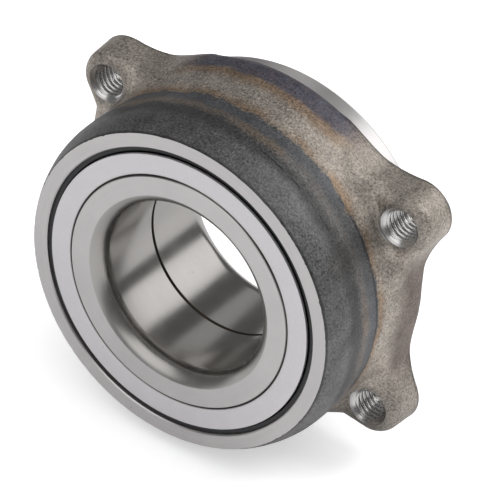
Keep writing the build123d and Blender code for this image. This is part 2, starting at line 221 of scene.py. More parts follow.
# ---- tints and painted shade of the forging, by depth behind the face, radius or share ----
# Two edges of a tint may have its full strength as a third value.
WANDER_REACH = 4.4
FRAY_REACH = 2.6
WORN_SPAN = (6.5, 9.5, 11.0, 14.0)
WORN_SHADE = 0.6
WEB_EDGE = (19.4, 21.6)
PATCH_EDGE = (0.38, 0.62)
HEAT_TINTS = (  # colour, span, share in patches, share all round
    ("straw_colour", (11.5, 13.6, 14.6, 16.6), 0.32, 0.06),
    ("blue_colour", (15.0, 16.8, 19.4, 20.4), 0.35, 0.35),
    ("straw_colour", (19.7, 20.6, 21.2, 24.0), 0.6, 0.15),
)
LONG_SIDE_SINE = (0.8, 0.93)
RIM_RADII = (50.0, 51.2)
RIM_STRAW = (27.0, 30.0, 0.75)
RIM_PURPLE = (30.6, 32.4, 0.85)
RIM_PURPLES = ((0.135, 0.13, 0.17), (0.115, 0.13, 0.18))
SHORT_SIDE_COSINE = (0.9, 0.97)
SHORT_SIDE = (26.0, 32.0, 0.75)
SHORT_SIDE_COLOUR = (0.135, 0.1, 0.088)
# Dark ring round each tapped hole: forging scale and painted shade of the hollow round it. The same colour
# also serves the real specks on the turned faces.
HOLE_SCALE_AND_SHADE = (5.9, 8.6, 0.35)
HOLE_SCALE_AND_SHADE_FRAY = 2.0
SCALE_AND_SHADE_COLOUR = (0.06, 0.055, 0.05)
# Painted shade: the forging darkens towards the bottom, below the axis.
LOW_SHADE_BELOW_AXIS = (24.0, 38.0, 0.6)
LOW_SHADE_WANDER = 8.0
LOW_SHADE_COLOUR = (0.07, 0.066, 0.062)
# Painted shade: a dark line along the flange's rear edge.
REAR_EDGE_SHADE = (FLANGE_REAR_Y - 1.5, FLANGE_REAR_Y - 0.8, 0.5)
REAR_EDGE_SHADE_COLOUR = (0.06, 0.055, 0.055)
# Painted shade: a dark line in the crease of a short lap, and another in the valley beside the ears.
LAP_DEPTH = 10.0
LAP_WANDER = 1.2
LAP_WIDTH = (0.06, 0.3)
LAP_ANGLE = 1.02
LAP_REACH = (0.24, 0.32)
LAP_SHADE_SHARE = 0.8
VALLEY_DEPTH = 19.9
VALLEY_WANDER = 0.8
VALLEY_WIDTH = (0.1, 0.7, 0.55)
VALLEY_SINE = (0.62, 0.8)
# Painted shade: a thin dark line on the forging along the front face's edge.
FACE_EDGE_SHADE = (0.35, 0.9, 0.55)
# Colour of the painted shade in the creases and along the face's edge.
CREASE_SHADE_COLOUR = (0.018, 0.02, 0.022)

# ---- other finishes ----
NOISE_LOW, NOISE_HIGH = 0.3, 0.7
MIX_COLOURS = (6, 7)  # sockets of a mix node set to colour
MIX_RESULT = 2
STEEL_METALLIC = 0.95
# Painted sheen: the pilot's colour is drawn lighter than the rest of the turned steel.
PILOT_PAINTED_SHEEN = 1.4
PILOT_SHEEN_START = 0.2
TURNED_ROUGHNESS = 0.36
TURNED_SPECKS = 0.8
THREAD_ROUGHNESS = 0.24
THREAD_COLOUR = (0.6, 0.59, 0.58)
BORE_TONE_RADII = (BORE_RADIUS + LEAD_WIDTH - 0.4, BORE_RADIUS + LEAD_WIDTH)
SMOOTH_WALL_RADII = (BORE_RADIUS + 0.1, BORE_RADIUS + 1.4)
FACE_ROUGHNESS = 0.31
WALL_ROUGHNESS = 0.2
SPLIT_ROUGHNESS = 0.6
SPLIT_GRIME = (SPLIT_GROOVE * 0.9, SPLIT_GROOVE * 1.15)
RING_GRIME = (INNER_HIGH_RADIUS - 0.3, INNER_HIGH_RADIUS - 0.12, 0.85)
SLINGER_GRIME = (INNER_HIGH_RADIUS + 0.12, INNER_HIGH_RADIUS + 0.5)
SCUFF = (0.66, 0.75, 0.25)
SCUFF_COLOUR = (0.8, 0.8, 0.83)
RUBBER_BLOOM_COLOUR = (0.035, 0.035, 0.038)
CAGE_COLOURS = ((0.028, 0.028, 0.032), (0.05, 0.05, 0.055))
BRIGHT_FILM_SHADE = 0.93
BRIGHT_STEELS = {  # start of the nodes' names: material, colour, roughness
    "ball": ("lapped_ball_steel", (0.78, 0.78, 0.79), 0.1),
    "inner_ring_clip": ("spring_steel", (0.34, 0.34, 0.35), 0.34),
    "seal_case": ("case_sheet", (0.32, 0.32, 0.33), 0.4),
}

# ---- studio, in metres apart from the camera ----
FLOOR_HALF_WIDTH = 6.0
FLOOR_ROUGHNESS = 0.9
FLOOR_SPECULAR = 0.1
LAMPS = (  # name, setting, size, place
    ("key_lamp", "key_glow", 0.66, (0.58, 0.8, 0.55)),
    ("front_lamp", "front_glow", 1.25, (-0.08, -0.95, 0.93)),
    ("top_lamp", "top_glow", 0.5, (-0.45, 0.7, 0.75)),
    ("side_lamp", "side_glow", 0.35, (0.55, 0.35, 0.85)),
)
SENSOR_WIDTH = 36.0
CAMERA_RIGHT = (0.8215, 0.5581, 0.1169)
CAMERA_UP = (-0.4161, 0.4466, 0.7921)
CAMERA_BACK = (0.3899, -0.6993, 0.5991)
CAMERA_PLACE = (395.7, -699.0, 602.6)


# ---- properties ----
class ForgingSettings(bpy.types.PropertyGroup):
    """Shape and colours of the forged outer ring."""

    root_radius: FloatProperty(
        name="Ear Root Radius", description="Hollow between the barrel and the front of each ear",
        default=EAR_ROOT_RADIUS * MM, unit="LENGTH",
    )
    edge_radius: FloatProperty(
        name="Ear Edge Radius", description="Rounding of each ear's front edge",
        default=EAR_EDGE_RADIUS * MM, unit="LENGTH",
    )
    unevenness: FloatProperty(
        name="Unevenness", description="How far the as-forged skin wanders from its true shape",
        default=SKIN_UNEVENNESS * MM, unit="LENGTH",
    )
    barrel_colour: FloatVectorProperty(
        name="Barrel", description="Dark scale on the barrel",
        default=(0.165, 0.163, 0.163), subtype="COLOR",
    )
    web_colour: FloatVectorProperty(
        name="Web", description="Blasted steel on the web and the ears",
        default=(0.42, 0.378, 0.335), subtype="COLOR",
    )
    straw_colour: FloatVectorProperty(
        name="Straw Tint", description="Golden edge of the hardening heat",
        default=(0.3, 0.205, 0.128), subtype="COLOR",
    )
    blue_colour: FloatVectorProperty(
        name="Blue Tint", description="Hotter band of the hardening heat",
        default=(0.12, 0.127, 0.14), subtype="COLOR",
    )


class MachinedSettings(bpy.types.PropertyGroup):
    """Colours of the turned, ground, pressed and moulded surfaces, and the thread."""

    face_colour: FloatVectorProperty(
        name="Ground Face", description="Ground and turned end faces",
        default=(0.53, 0.515, 0.51), subtype="COLOR",
    )
    bore_colour: FloatVectorProperty(
        name="Bore", description="Honed bore with its film of oil",
        default=(0.4, 0.385, 0.37), subtype="COLOR",
    )
    grime_colour: FloatVectorProperty(
        name="Grime", description="Brown film in joints and pits",
        default=(0.055, 0.043, 0.034), subtype="COLOR",
    )
    slinger_colour: FloatVectorProperty(
        name="Slinger", description="Matte pressed sheet of the slinger",
        default=(0.64, 0.625, 0.635), subtype="COLOR",
    )
    rubber_colour: FloatVectorProperty(
        name="Rubber", description="Nitrile rubber of the seal",
        default=(0.012, 0.012, 0.013), subtype="COLOR",
    )
    thread_pitch: FloatProperty(
        name="Thread Pitch", description="Pitch of the tapped holes",
        default=THREAD_PITCH * MM, unit="LENGTH",
    )


class StudioSettings(bpy.types.PropertyGroup):
    """Floor, lamps and camera."""

    floor_colour: FloatVectorProperty(
        name="Floor", description="Colour of the floor", default=(0.8, 0.8, 0.81), subtype="COLOR",
    )
    floor_glow: FloatProperty(
        name="Floor Glow", description="Light that the floor adds in the camera's view", default=0.41,
    )
    floor_reflection: FloatProperty(
        name="Floor Reflection", description="Light that the floor adds in reflections", default=0.02,
    )
    key_glow: FloatProperty(
        name="Key", description="Brightness of the large soft lamp at the rear right", default=1.4,
    )
    side_glow: FloatProperty(
        name="Side", description="Brightness of the small lamp high on the right", default=7.0,
    )
    front_glow: FloatProperty(
        name="Front", description="Brightness of the large soft lamp in front", default=1.25,
    )
    top_glow: FloatProperty(
        name="Top", description="Brightness of the lamp overhead", default=0.4,
    )
    room_glow: FloatProperty(
        name="Room", description="Even light from the room", default=0.8,
    )
    room_reflection: FloatProperty(
        name="Room Reflection", description="Brightness of the room where steel reflects it", default=0.13,
    )
    focal_length: FloatProperty(
        name="Focal Length", description="Focal length of the camera", default=281.97, unit="CAMERA",
    )


# ---- shape helpers ----
def hollow_union(a, b, radius):
    """Join two distance fields, with a hollow of this radius in the corner between them."""
    corner = np.sqrt(np.maximum(radius - a, 0) ** 2 + np.maximum(radius - b, 0) ** 2)
    return np.maximum(radius, np.minimum(a, b)) - corner


def rounded_cut(a, b, radius):
    """Keep what two distance fields share, with the edge between them rounded."""
    corner = np.hypot(np.maximum(a + radius, 0), np.maximum(b + radius, 0))
    return np.minimum(-radius, np.maximum(a, b)) + corner


def fade(low, high, value):
    """Smooth step from 0 at low to 1 at high."""
    t = np.clip((value - low) / (high - low), 0, 1)
    return t * t * (3 - 2 * t)


def arc_points(centre, radius, start, end, steps):
    """Points on an arc in the (radius, y) plane, between two angles in radians."""
    angles = np.linspace(start, end, steps + 1)
    return [(centre[0] + radius * cos(a), centre[1] + radius * sin(a)) for a in angles]


def eased(corners, steps=3):
    """Outline through (radius, y, easing) corners, each rounded by its easing."""
    outline = []
    count = len(corners)
    for i, (r, y, ease) in enumerate(corners):
        here = Vector((r, y))
        if ease <= 0:
            outline.append((r, y))
            continue
        back = Vector(corners[i - 1][:2]) - here
        ahead = Vector(corners[(i + 1) % count][:2]) - here
        back.normalize()
        ahead.normalize()
        half = acos(max(-1.0, min(1.0, back.dot(ahead)))) / 2
        run = ease / tan(half)
        start = here + back * run
        end = here + ahead * run
        for k in range(steps + 1):
            t = k / steps
            point = start * (1 - t) ** 2 + here * 2 * t * (1 - t) + end * t**2
            outline.append((point.x, point.y))
    return outline


def mark_sharp(mesh, limit=SHARP_TURN):
    """Shade smooth, apart from edges that turn by more than the limit or part two materials."""
    bm = bmesh.new()
    bm.from_mesh(mesh)
    for face in bm.faces:
        face.smooth = True
    for edge in bm.edges:
        faces = edge.link_faces
        turned = len(faces) == 2 and edge.calc_face_angle(0.0) > limit
        parted = len(faces) == 2 and faces[0].material_index != faces[1].material_index
        edge.smooth = not (turned or parted)
    bm.to_mesh(mesh)
    bm.free()


def point_outwards(mesh):
    """Turn the faces of a closed mesh outwards."""
    bm = bmesh.new()
    bm.from_mesh(mesh)
    bmesh.ops.recalc_face_normals(bm, faces=bm.faces)
    bm.to_mesh(mesh)
    bm.free()


def ring_mesh(name, radii, heights, angles, material_rows):
    """Closed ring of quads, from one row for each section point and one column for each angle."""
    rows, columns = radii.shape
    points = np.stack([radii * np.cos(angles), heights, radii * np.sin(angles)], axis=-1).reshape(-1, 3) * MM
    row = np.arange(rows)[:, None]
    column = np.arange(columns)[None, :]
    next_row = (row + 1) % rows
    next_column = (column + 1) % columns
    corners = [row * columns + column, next_row * columns + column]
    corners += [next_row * columns + next_column, row * columns + next_column]
    faces = np.stack(corners, axis=-1).reshape(-1, 4)
    mesh = bpy.data.meshes.new(name)
    mesh.from_pydata(points.tolist(), [], faces.tolist())
    mesh.polygons.foreach_set("material_index", np.repeat(material_rows, columns))
    mesh.update()
    point_outwards(mesh)
    return mesh


def lathe(name, outline):
    """Ring about the bearing axis with this closed (radius, y) outline."""
    section = np.array(outline)
    angles = np.linspace(0, 2 * pi, LATHE_SEGMENTS, endpoint=False)
    radii = np.repeat(section[:, :1], LATHE_SEGMENTS, axis=1)
    heights = np.repeat(section[:, 1:], LATHE_SEGMENTS, axis=1)
    mesh = ring_mesh(name, radii, heights, angles, np.zeros(len(section), int))
    mark_sharp(mesh, LATHE_SHARP_TURN)
    return mesh


def bake(piece):
    """Replace a piece's mesh by what its modifiers make, as a plain mesh."""
    bpy.context.view_layer.update()
    evaluated = piece.evaluated_get(bpy.context.evaluated_depsgraph_get())
    mesh = bpy.data.meshes.new_from_object(evaluated)
    piece.modifiers.clear()
    piece.data = mesh
    return mesh


def add_object(name, mesh, materials):
    """New object at the origin with its materials."""
    for material in materials:
        mesh.materials.append(material)
    piece = bpy.data.objects.new(name, mesh)
    bpy.context.scene.collection.objects.link(piece)
    return piece


def place(piece, body, slot, *nodes):
    """Let a piece ride on a body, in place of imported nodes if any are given."""
    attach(piece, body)
    if nodes:
        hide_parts(*nodes)


def add_turned(*kinds):
    """Turn each kind of ring, (node, outline, finish, body, slot), for the front and the rear."""
    for side, sign in SIDES:
        for node, outline, finish, body, slot in kinds:
            name = f"{node}_{side}_skin"
            mesh = lathe(name, [(r, sign * y) for r, y in outline])
            place(add_object(name, mesh, [finish]), body, slot, f"{node}_{side}")


# ---- forged outer ring ----
def barrel_radius(y):
    """Radius of the forging of revolution at a height along the axis."""
    depth, radius = np.array(BARREL_STATIONS).T
    rim_front = FLANGE_REAR_Y - RIM_EDGE_LENGTH - FRONT_Y
    depth = np.append(depth, rim_front)
    radius = np.append(radius, RIM_RADIUS)
    slope = np.gradient(radius, depth)
    slope[0] = FACE_EDGE_SLOPE
    slope[-1] = 0.0
    at = np.clip(y - FRONT_Y, 0, rim_front)
    i = np.clip(np.searchsorted(depth, at, side="right") - 1, 0, len(depth) - 2)
    width = depth[i + 1] - depth[i]
    t = (at - depth[i]) / width
    start = (1 + 2 * t) * (1 - t) ** 2 * radius[i] + t * (1 - t) ** 2 * width * slope[i]
    end = t**2 * (3 - 2 * t) * radius[i + 1] - t**2 * (1 - t) * width * slope[i + 1]
    past_rim = np.maximum(y - FRONT_Y - rim_front, 0) / RIM_EDGE_LENGTH
    return start + end - RIM_DRAW_IN * np.minimum(past_rim, 1.0) ** 2


def ear_outline_distance(along, across, draft_in):
    """Distance to the plan outline of an ear, its hollows and the rim, shrunk by the draft."""
    rim = RIM_RADIUS - RIM_DRAW_IN
    to_rim = rim + EAR_HOLLOW_RADIUS
    to_ear = EAR_RADIUS + EAR_HOLLOW_RADIUS
    swing = acos((to_rim**2 + EAR_REACH**2 - to_ear**2) / (2 * to_rim * EAR_REACH))
    hollow = (to_rim * cos(swing), to_rim * sin(swing))
    from_ear = np.hypot(along - EAR_REACH, across) - (EAR_RADIUS - draft_in)
    from_hollow = EAR_HOLLOW_RADIUS + draft_in - np.hypot(along - hollow[0], across - hollow[1])
    from_rim = np.hypot(along, across) - (rim - draft_in)
    on_hollow_side = (hollow[0] - EAR_REACH) * across - hollow[1] * (along - EAR_REACH) > 0
    distance = np.where(on_hollow_side, from_hollow, from_ear)
    return np.where(np.arctan2(across, along) > swing, from_rim, distance)


def forging_field(radius, y, angle, root_radius, edge_radius):
    """Distance-like field of the forging in millimetres, negative inside the steel."""
    x = np.abs(radius * np.cos(angle))
    z = np.abs(radius * np.sin(angle))
    along = x * cos(EAR_ANGLE) + z * sin(EAR_ANGLE)
    across = np.abs(z * cos(EAR_ANGLE) - x * sin(EAR_ANGLE))
    draft_in = (FLANGE_REAR_Y - y) * tan(FORGING_DRAFT)
    side = ear_outline_distance(along, across, draft_in) * cos(FORGING_DRAFT)
    barrel = radius - barrel_radius(y)
    wing = np.maximum(across - WING_START, 0) / WING_RUN
    ear = rounded_cut(side, EAR_FRONT_Y + WING_FALL * wing**2 - y, edge_radius)
    root = root_radius + ROOT_GROWTH * fade(ROOT_GROWTH_START, ROOT_GROWTH_END, across)
    return np.maximum(hollow_union(barrel, ear, root), hollow_union(barrel, side, root_radius))


def ring_columns():
    """Angles of the ring's columns, closer together round each ear."""
    fine = np.linspace(0, 2 * pi, COLUMN_SAMPLES)
    nearest = np.full_like(fine, pi)
    for ear in (EAR_ANGLE, pi - EAR_ANGLE, pi + EAR_ANGLE, 2 * pi - EAR_ANGLE):
        turned = np.abs((fine - ear + pi) % (2 * pi) - pi)
        nearest = np.minimum(nearest, turned)
    away = fade(EAR_COLUMN_SPREAD * EAR_COLUMN_FADE, EAR_COLUMN_SPREAD, nearest)
    weight = 1 + EAR_COLUMN_WEIGHT * (1 - away)
    total = np.concatenate([[0], np.cumsum((weight[1:] + weight[:-1]) / 2)])
    return np.interp(np.linspace(0, total[-1], RING_COLUMNS, endpoint=False), total, fine)


def forging_rays():
    """Start height and slope of the rays that find the skin, from the face to the flange's rear."""
    turn_start, turn_end = (EAR_FRONT_Y - before for before in RAY_TURN_BEFORE_EAR)
    front_end = EAR_FRONT_Y + RAY_EAR_SPAN
    rear = FLANGE_REAR_Y - REAR_CHAMFER
    barrel_y = FRONT_Y + (turn_start - FRONT_Y) * np.linspace(0, 1, BARREL_ROWS) ** BARREL_ROW_POWER
    turn_y = np.linspace(turn_start, turn_end, TURN_ROWS)[1:]
    turn_slope = fade(0, 1, np.linspace(0, 1, TURN_ROWS)[1:])
    turn_from = turn_y + (barrel_radius(turn_y) - RAY_START_RADIUS) * turn_slope
    front_from = np.linspace(turn_from[-1], front_end, FRONT_ROWS)[1:]
    side_slope = np.linspace(1, 0, SIDE_ROWS)[1:]
    side_from = rear + (front_end - rear) * side_slope
    starts = np.concatenate([barrel_y, turn_from, front_from, side_from])
    slopes = np.concatenate([np.zeros(BARREL_ROWS), turn_slope, np.ones(FRONT_ROWS - 1), side_slope])
    return starts, slopes


def forged_skin(angles, root_radius, edge_radius):
    """Radius and height of every skin point, by halving the span that holds it along its ray."""
    starts, slopes = forging_rays()
    angle = np.repeat(angles[None, :], len(starts), axis=0)
    start = np.repeat(starts[:, None], len(angles), axis=1)
    slope = np.repeat(slopes[:, None], len(angles), axis=1)
    inside = np.zeros_like(start)
    outside = np.full_like(start, RAY_REACH)
    for _ in range(RAY_HALVINGS):
        middle = (inside + outside) / 2
        radius = RAY_START_RADIUS + middle
        out = forging_field(radius, start - slope * middle, angle, root_radius, edge_radius) > 0
        outside = np.where(out, middle, outside)
        inside = np.where(out, inside, middle)
    return RAY_START_RADIUS + inside, start - slope * inside


def raceway_outline():
    """Inside of the outer ring, from its rear end face to its front end face."""
    shift = GROOVE_RADIUS - BALL_RADIUS - RUNNING_GAP
    centre_radius = PITCH_RADIUS - shift * cos(CONTACT_ANGLE)
    centre_y = ROW_OFFSET + shift * sin(CONTACT_ANGLE)
    to_land = asin(sqrt(1 - ((LAND_RADIUS - centre_radius) / GROOVE_RADIUS) ** 2))
    to_rib = acos((RIB_RADIUS - centre_radius) / GROOVE_RADIUS)
    seat_end = RING_WIDTH - SEAT_DEPTH
    half = [(SEAL_SEAT_RADIUS, seat_end), (LAND_RADIUS, seat_end - SEAT_RUNOUT)]
    half += arc_points((centre_radius, centre_y), GROOVE_RADIUS, to_land, -to_rib, RACEWAY_STEPS)
    mouth = SEAL_SEAT_RADIUS + FACE_CHAMFER
    rear = [(mouth, PILOT_END_Y), (SEAL_SEAT_RADIUS, PILOT_END_Y - FACE_CHAMFER)]
    front = [(r, -y) for r, y in reversed(half)]
    return rear + half + front + [(SEAL_SEAT_RADIUS, FRONT_Y + FACE_CHAMFER), (mouth, FRONT_Y)]


def outer_ring_mesh(settings):
    """Whole outer ring before its holes: forged skin, machined ends and raceways."""
    angles = ring_columns()
    radii, heights = forged_skin(angles, settings.root_radius / MM, settings.edge_radius / MM)
    rear_radius = radii[-1] - REAR_CHAMFER
    flange_radii = (rear_radius, (rear_radius + PILOT_RADIUS) / 2, PILOT_RADIUS)
    machined = [(radius, FLANGE_REAR_Y) for radius in flange_radii]
    for y in np.linspace(FLANGE_REAR_Y, PILOT_END_Y - PILOT_CHAMFER, MACHINED_ROWS)[1:]:
        machined.append((PILOT_RADIUS, y))
    machined.append((PILOT_RADIUS - PILOT_CHAMFER_WIDTH, PILOT_END_Y))
    machined += raceway_outline()
    for radius in np.linspace(SEAL_SEAT_RADIUS + FACE_CHAMFER, FACE_RADIUS, MACHINED_ROWS)[1:-1]:
        machined.append((radius, FRONT_Y))
    columns = np.ones(len(angles))
    ring_radii = np.vstack([radii] + [columns * radius for radius, _ in machined])
    ring_heights = np.vstack([heights] + [columns * y for _, y in machined])
    forged_rows = len(radii)
    material_rows = np.ones(len(ring_radii), int)
    material_rows[: forged_rows - 1] = 0
    mesh = ring_mesh("outer_ring_skin", ring_radii, ring_heights, angles, material_rows)
    roughen(mesh, forged_rows, len(angles), settings.unevenness)
    return mesh


def roughen(mesh, rows, columns, amount):
    """Move the as-forged vertices in and out a little, and nick the edge of the front face."""
    places = np.empty(len(mesh.vertices) * 3)
    mesh.vertices.foreach_get("co", places)
    places = places.reshape(-1, 3)
    normals = np.array([normal.vector for normal in mesh.vertex_normals])
    for i in range((rows - 1) * columns):
        at = Vector(places[i]) / MM
        if i < columns:
            nick = max(noise.noise(at * EDGE_NICK_RATE + Vector(EDGE_NICK_SHIFT)) - EDGE_NICK_FLOOR, 0.0)
            outward = Vector((at.x, 0, at.z)).normalized()
            places[i] -= np.array(outward) * nick * EDGE_NICK * MM
        else:
            lumps = 0.0
            for rate, weight, shift in SKIN_LUMPS:
                lumps += weight * noise.noise(at * rate + Vector(shift))
            places[i] += normals[i] * (lumps - SKIN_LUMPS_MIDDLE) * amount
    mesh.vertices.foreach_set("co", places.ravel())
    mesh.update()


def hole_centres():
    """The four hole axes as (x, z)."""
    return [(sx * HOLE_X, sz * HOLE_Z) for sz in (1, -1) for sx in (1, -1)]


def hole_cutter():
    """One mesh of four drills with a countersink at each mouth, clear of the barrel and the pilot."""
    profile = [
        (COUNTERSINK_RADIUS, EAR_FRONT_Y - DRILL_FRONT_REACH),
        (COUNTERSINK_RADIUS, EAR_FRONT_Y),
        (THREAD_WALL_RADIUS, THREAD_START_Y),
        (THREAD_WALL_RADIUS, THREAD_END_Y),
        (REAR_COUNTERSINK_RADIUS + DRILL_REAR_REACH, FLANGE_REAR_Y + DRILL_REAR_REACH),
    ]
    turns = [2 * pi * i / DRILL_SEGMENTS for i in range(DRILL_SEGMENTS)]
    bm = bmesh.new()
    for x, z in hole_centres():
        rings = []
        for radius, y in profile:
            rings.append([bm.verts.new((x + radius * cos(a), y, z + radius * sin(a))) for a in turns])
        for low, high in zip(rings, rings[1:]):
            for i in range(DRILL_SEGMENTS):
                j = (i + 1) % DRILL_SEGMENTS
                bm.faces.new((low[i], high[i], high[j], low[j]))
        bm.faces.new(rings[0])
        bm.faces.new(reversed(rings[-1]))
    bmesh.ops.recalc_face_normals(bm, faces=bm.faces)
    bmesh.ops.scale(bm, vec=(MM, MM, MM), verts=bm.verts)
    mesh = bpy.data.meshes.new("hole_cutter")
    bm.to_mesh(mesh)
    bm.free()
    return mesh


def cut_holes(ring, machined):
    """Drill the four holes through the ring, their walls in the machined finish."""
    cutter = add_object("hole_cutter", hole_cutter(), [machined])
    drill = ring.modifiers.new("Holes", "BOOLEAN")
    drill.operation = "DIFFERENCE"
    drill.solver = "MANIFOLD"
    drill.material_mode = "TRANSFER"
    drill.object = cutter
    mark_sharp(bake(ring))
    bpy.data.objects.remove(cutter)


# ---- sections of the turned, pressed and moulded rings ----
def inner_ring_outline():
    """Section of the rear inner ring: lead-in, face, slinger seat, raceway and split end."""
    shift = GROOVE_RADIUS - BALL_RADIUS - RUNNING_GAP
    centre = (PITCH_RADIUS + shift * cos(CONTACT_ANGLE), ROW_OFFSET - shift * sin(CONTACT_ANGLE))
    lead_depth = RING_WIDTH - BORE_LENGTH / 2
    lead_radius = (LEAD_WIDTH**2 + lead_depth**2) / (2 * LEAD_WIDTH)
    lead_centre = (BORE_RADIUS + lead_radius, RING_WIDTH - lead_depth)
    high = pi - asin(sqrt(1 - ((centre[0] - INNER_HIGH_RADIUS) / GROOVE_RADIUS) ** 2))
    low = pi + asin(sqrt(1 - ((centre[0] - INNER_LOW_RADIUS) / GROOVE_RADIUS) ** 2))
    clip_start, clip_end = CLIP_GROOVE_Y
    return [
        *arc_points(lead_centre, -lead_radius, 0, -asin(lead_depth / lead_radius), LEAD_STEPS),
        (INNER_HIGH_RADIUS - INNER_CHAMFER, RING_WIDTH),
        (INNER_HIGH_RADIUS, RING_WIDTH - INNER_CHAMFER),
        *arc_points(centre, GROOVE_RADIUS, high, low, RACEWAY_STEPS),
        (INNER_LOW_RADIUS, clip_end),
        (CLIP_GROOVE_RADIUS, clip_end),
        (CLIP_GROOVE_RADIUS, clip_start),
        (INNER_LOW_RADIUS, clip_start),
        (INNER_LOW_RADIUS, INNER_CHAMFER),
        (INNER_LOW_RADIUS - INNER_CHAMFER, 0),
        (BORE_RADIUS + SPLIT_GROOVE, 0),
        (BORE_RADIUS, SPLIT_GROOVE),
    ]


def slinger_outline():
    """Section of the rear slinger: sleeve, bend and flange, with its rim eased by the press."""
    inside = INNER_HIGH_RADIUS
    back = RING_WIDTH - SLINGER_THICKNESS
    end = RING_WIDTH - SLINGER_SLEEVE_LENGTH
    return eased([
        (inside, RING_WIDTH, SLINGER_BEND_RADIUS),
        (SLINGER_RADIUS, RING_WIDTH, SLINGER_RIM_EASE),
        (SLINGER_RADIUS, back, SLINGER_EDGE_EASE),
        (inside + SLINGER_THICKNESS, back, SLINGER_CORNER_EASE),
        (inside + SLINGER_THICKNESS, end, SLINGER_EDGE_EASE),
        (inside, end, SLINGER_EDGE_EASE),
    ], steps=5)


def rubber_outline():
    """Section of the rear seal rubber: nose at the face and one lip each to flange and sleeve."""
    face = RUBBER_BACK_Y + CASE_THICKNESS
    floor = face + RUBBER_SKIN
    case_bore = SEAL_SEAT_RADIUS - CASE_THICKNESS
    nose_back = RUBBER_NOSE_Y - RUBBER_SKIN
    lip_back = RUBBER_BACK_Y + RUBBER_SKIN
    side_lip = LIP_ROOT_RADIUS + RUBBER_SKIN
    flange_back = RING_WIDTH - SLINGER_THICKNESS - LIP_GAP
    sleeve = INNER_HIGH_RADIUS + SLINGER_THICKNESS + LIP_GAP
    return eased([
        (SEAL_SEAT_RADIUS, RUBBER_NOSE_Y, NOSE_OUTER_EASE),
        (SEAL_SEAT_RADIUS, nose_back, 0),
        (case_bore, nose_back, 0),
        (case_bore, face, 0),
        (CASE_INNER_RADIUS, face, 0),
        (CASE_INNER_RADIUS, RUBBER_BACK_Y, 0),
        (LIP_ROOT_RADIUS, RUBBER_BACK_Y, 0),
        (sleeve, lip_back, LIP_TIP_EASE),
        (sleeve, lip_back + LIP_TIP_WIDTH, LIP_TIP_EASE),
        (LIP_ROOT_RADIUS, floor, 0),
        (side_lip, flange_back, LIP_TIP_EASE),
        (side_lip + LIP_TIP_WIDTH, flange_back, LIP_TIP_EASE),
        (LIP_ROOT_RADIUS + 2 * RUBBER_SKIN, floor, 0),
        (RUBBER_BORE_RADIUS, floor, 0),
        (RUBBER_BORE_RADIUS, RUBBER_NOSE_Y, NOSE_INNER_EASE),
    ])


# ---- nodes ----
class Maths:
    """Short way to write sums as math nodes in a tree."""

    def __init__(self, tree):
        self.tree = tree

    def node(self, kind, inputs=None, **settings):
        """Add a node, set its plain settings and feed its inputs."""
        made = self.tree.nodes.new(kind)
        for key, value in settings.items():
            setattr(made, key, value)
        for key, value in (inputs or {}).items():
            self.feed(made.inputs[key], value)
        return made

    def feed(self, socket, value):
        """Link a socket, or set a constant."""
        if isinstance(value, bpy.types.NodeSocket):
            self.tree.links.new(value, socket)
        else:
            socket.default_value = value

    def sum(self, operation, *values, clamp=False):
        """One math node, and its output."""
        inputs = dict(enumerate(values))
        return self.node("ShaderNodeMath", inputs, operation=operation, use_clamp=clamp).outputs[0]

    def add(self, a, b):
        """Two values together."""
        return self.sum("ADD", a, b)

    def less(self, a, b):
        """The first value less the second."""
        return self.sum("SUBTRACT", a, b)

    def times(self, *values):
        """Product of the values."""
        return reduce(lambda a, b: self.sum("MULTIPLY", a, b), values)

    def most(self, *values):
        """Largest of the values."""
        return reduce(lambda a, b: self.sum("MAXIMUM", a, b), values)

    def reach(self, a, b):
        """Length of the way from the origin to (a, b)."""
        return self.sum("SQRT", self.add(self.times(a, a), self.times(b, b)))

    def step(self, value, low, high, share=1.0):
        """Smooth step of a value from 0 at low to its share at high."""
        inputs = {"Value": value, "From Min": low, "From Max": high, "To Max": share}
        return self.node("ShaderNodeMapRange", inputs, interpolation_type="SMOOTHSTEP").outputs["Result"]

    def fall(self, value, low, high, share=1.0):
        """Smooth step of a value from its share at low to 0 at high."""
        return self.less(share, self.step(value, low, high, share))

    def band(self, value, start, full, fading, end):
        """Rise from 0 at start to 1 at full, and fall from 1 at fading to 0 at end."""
        return self.times(self.step(value, start, full), self.fall(value, fading, end))


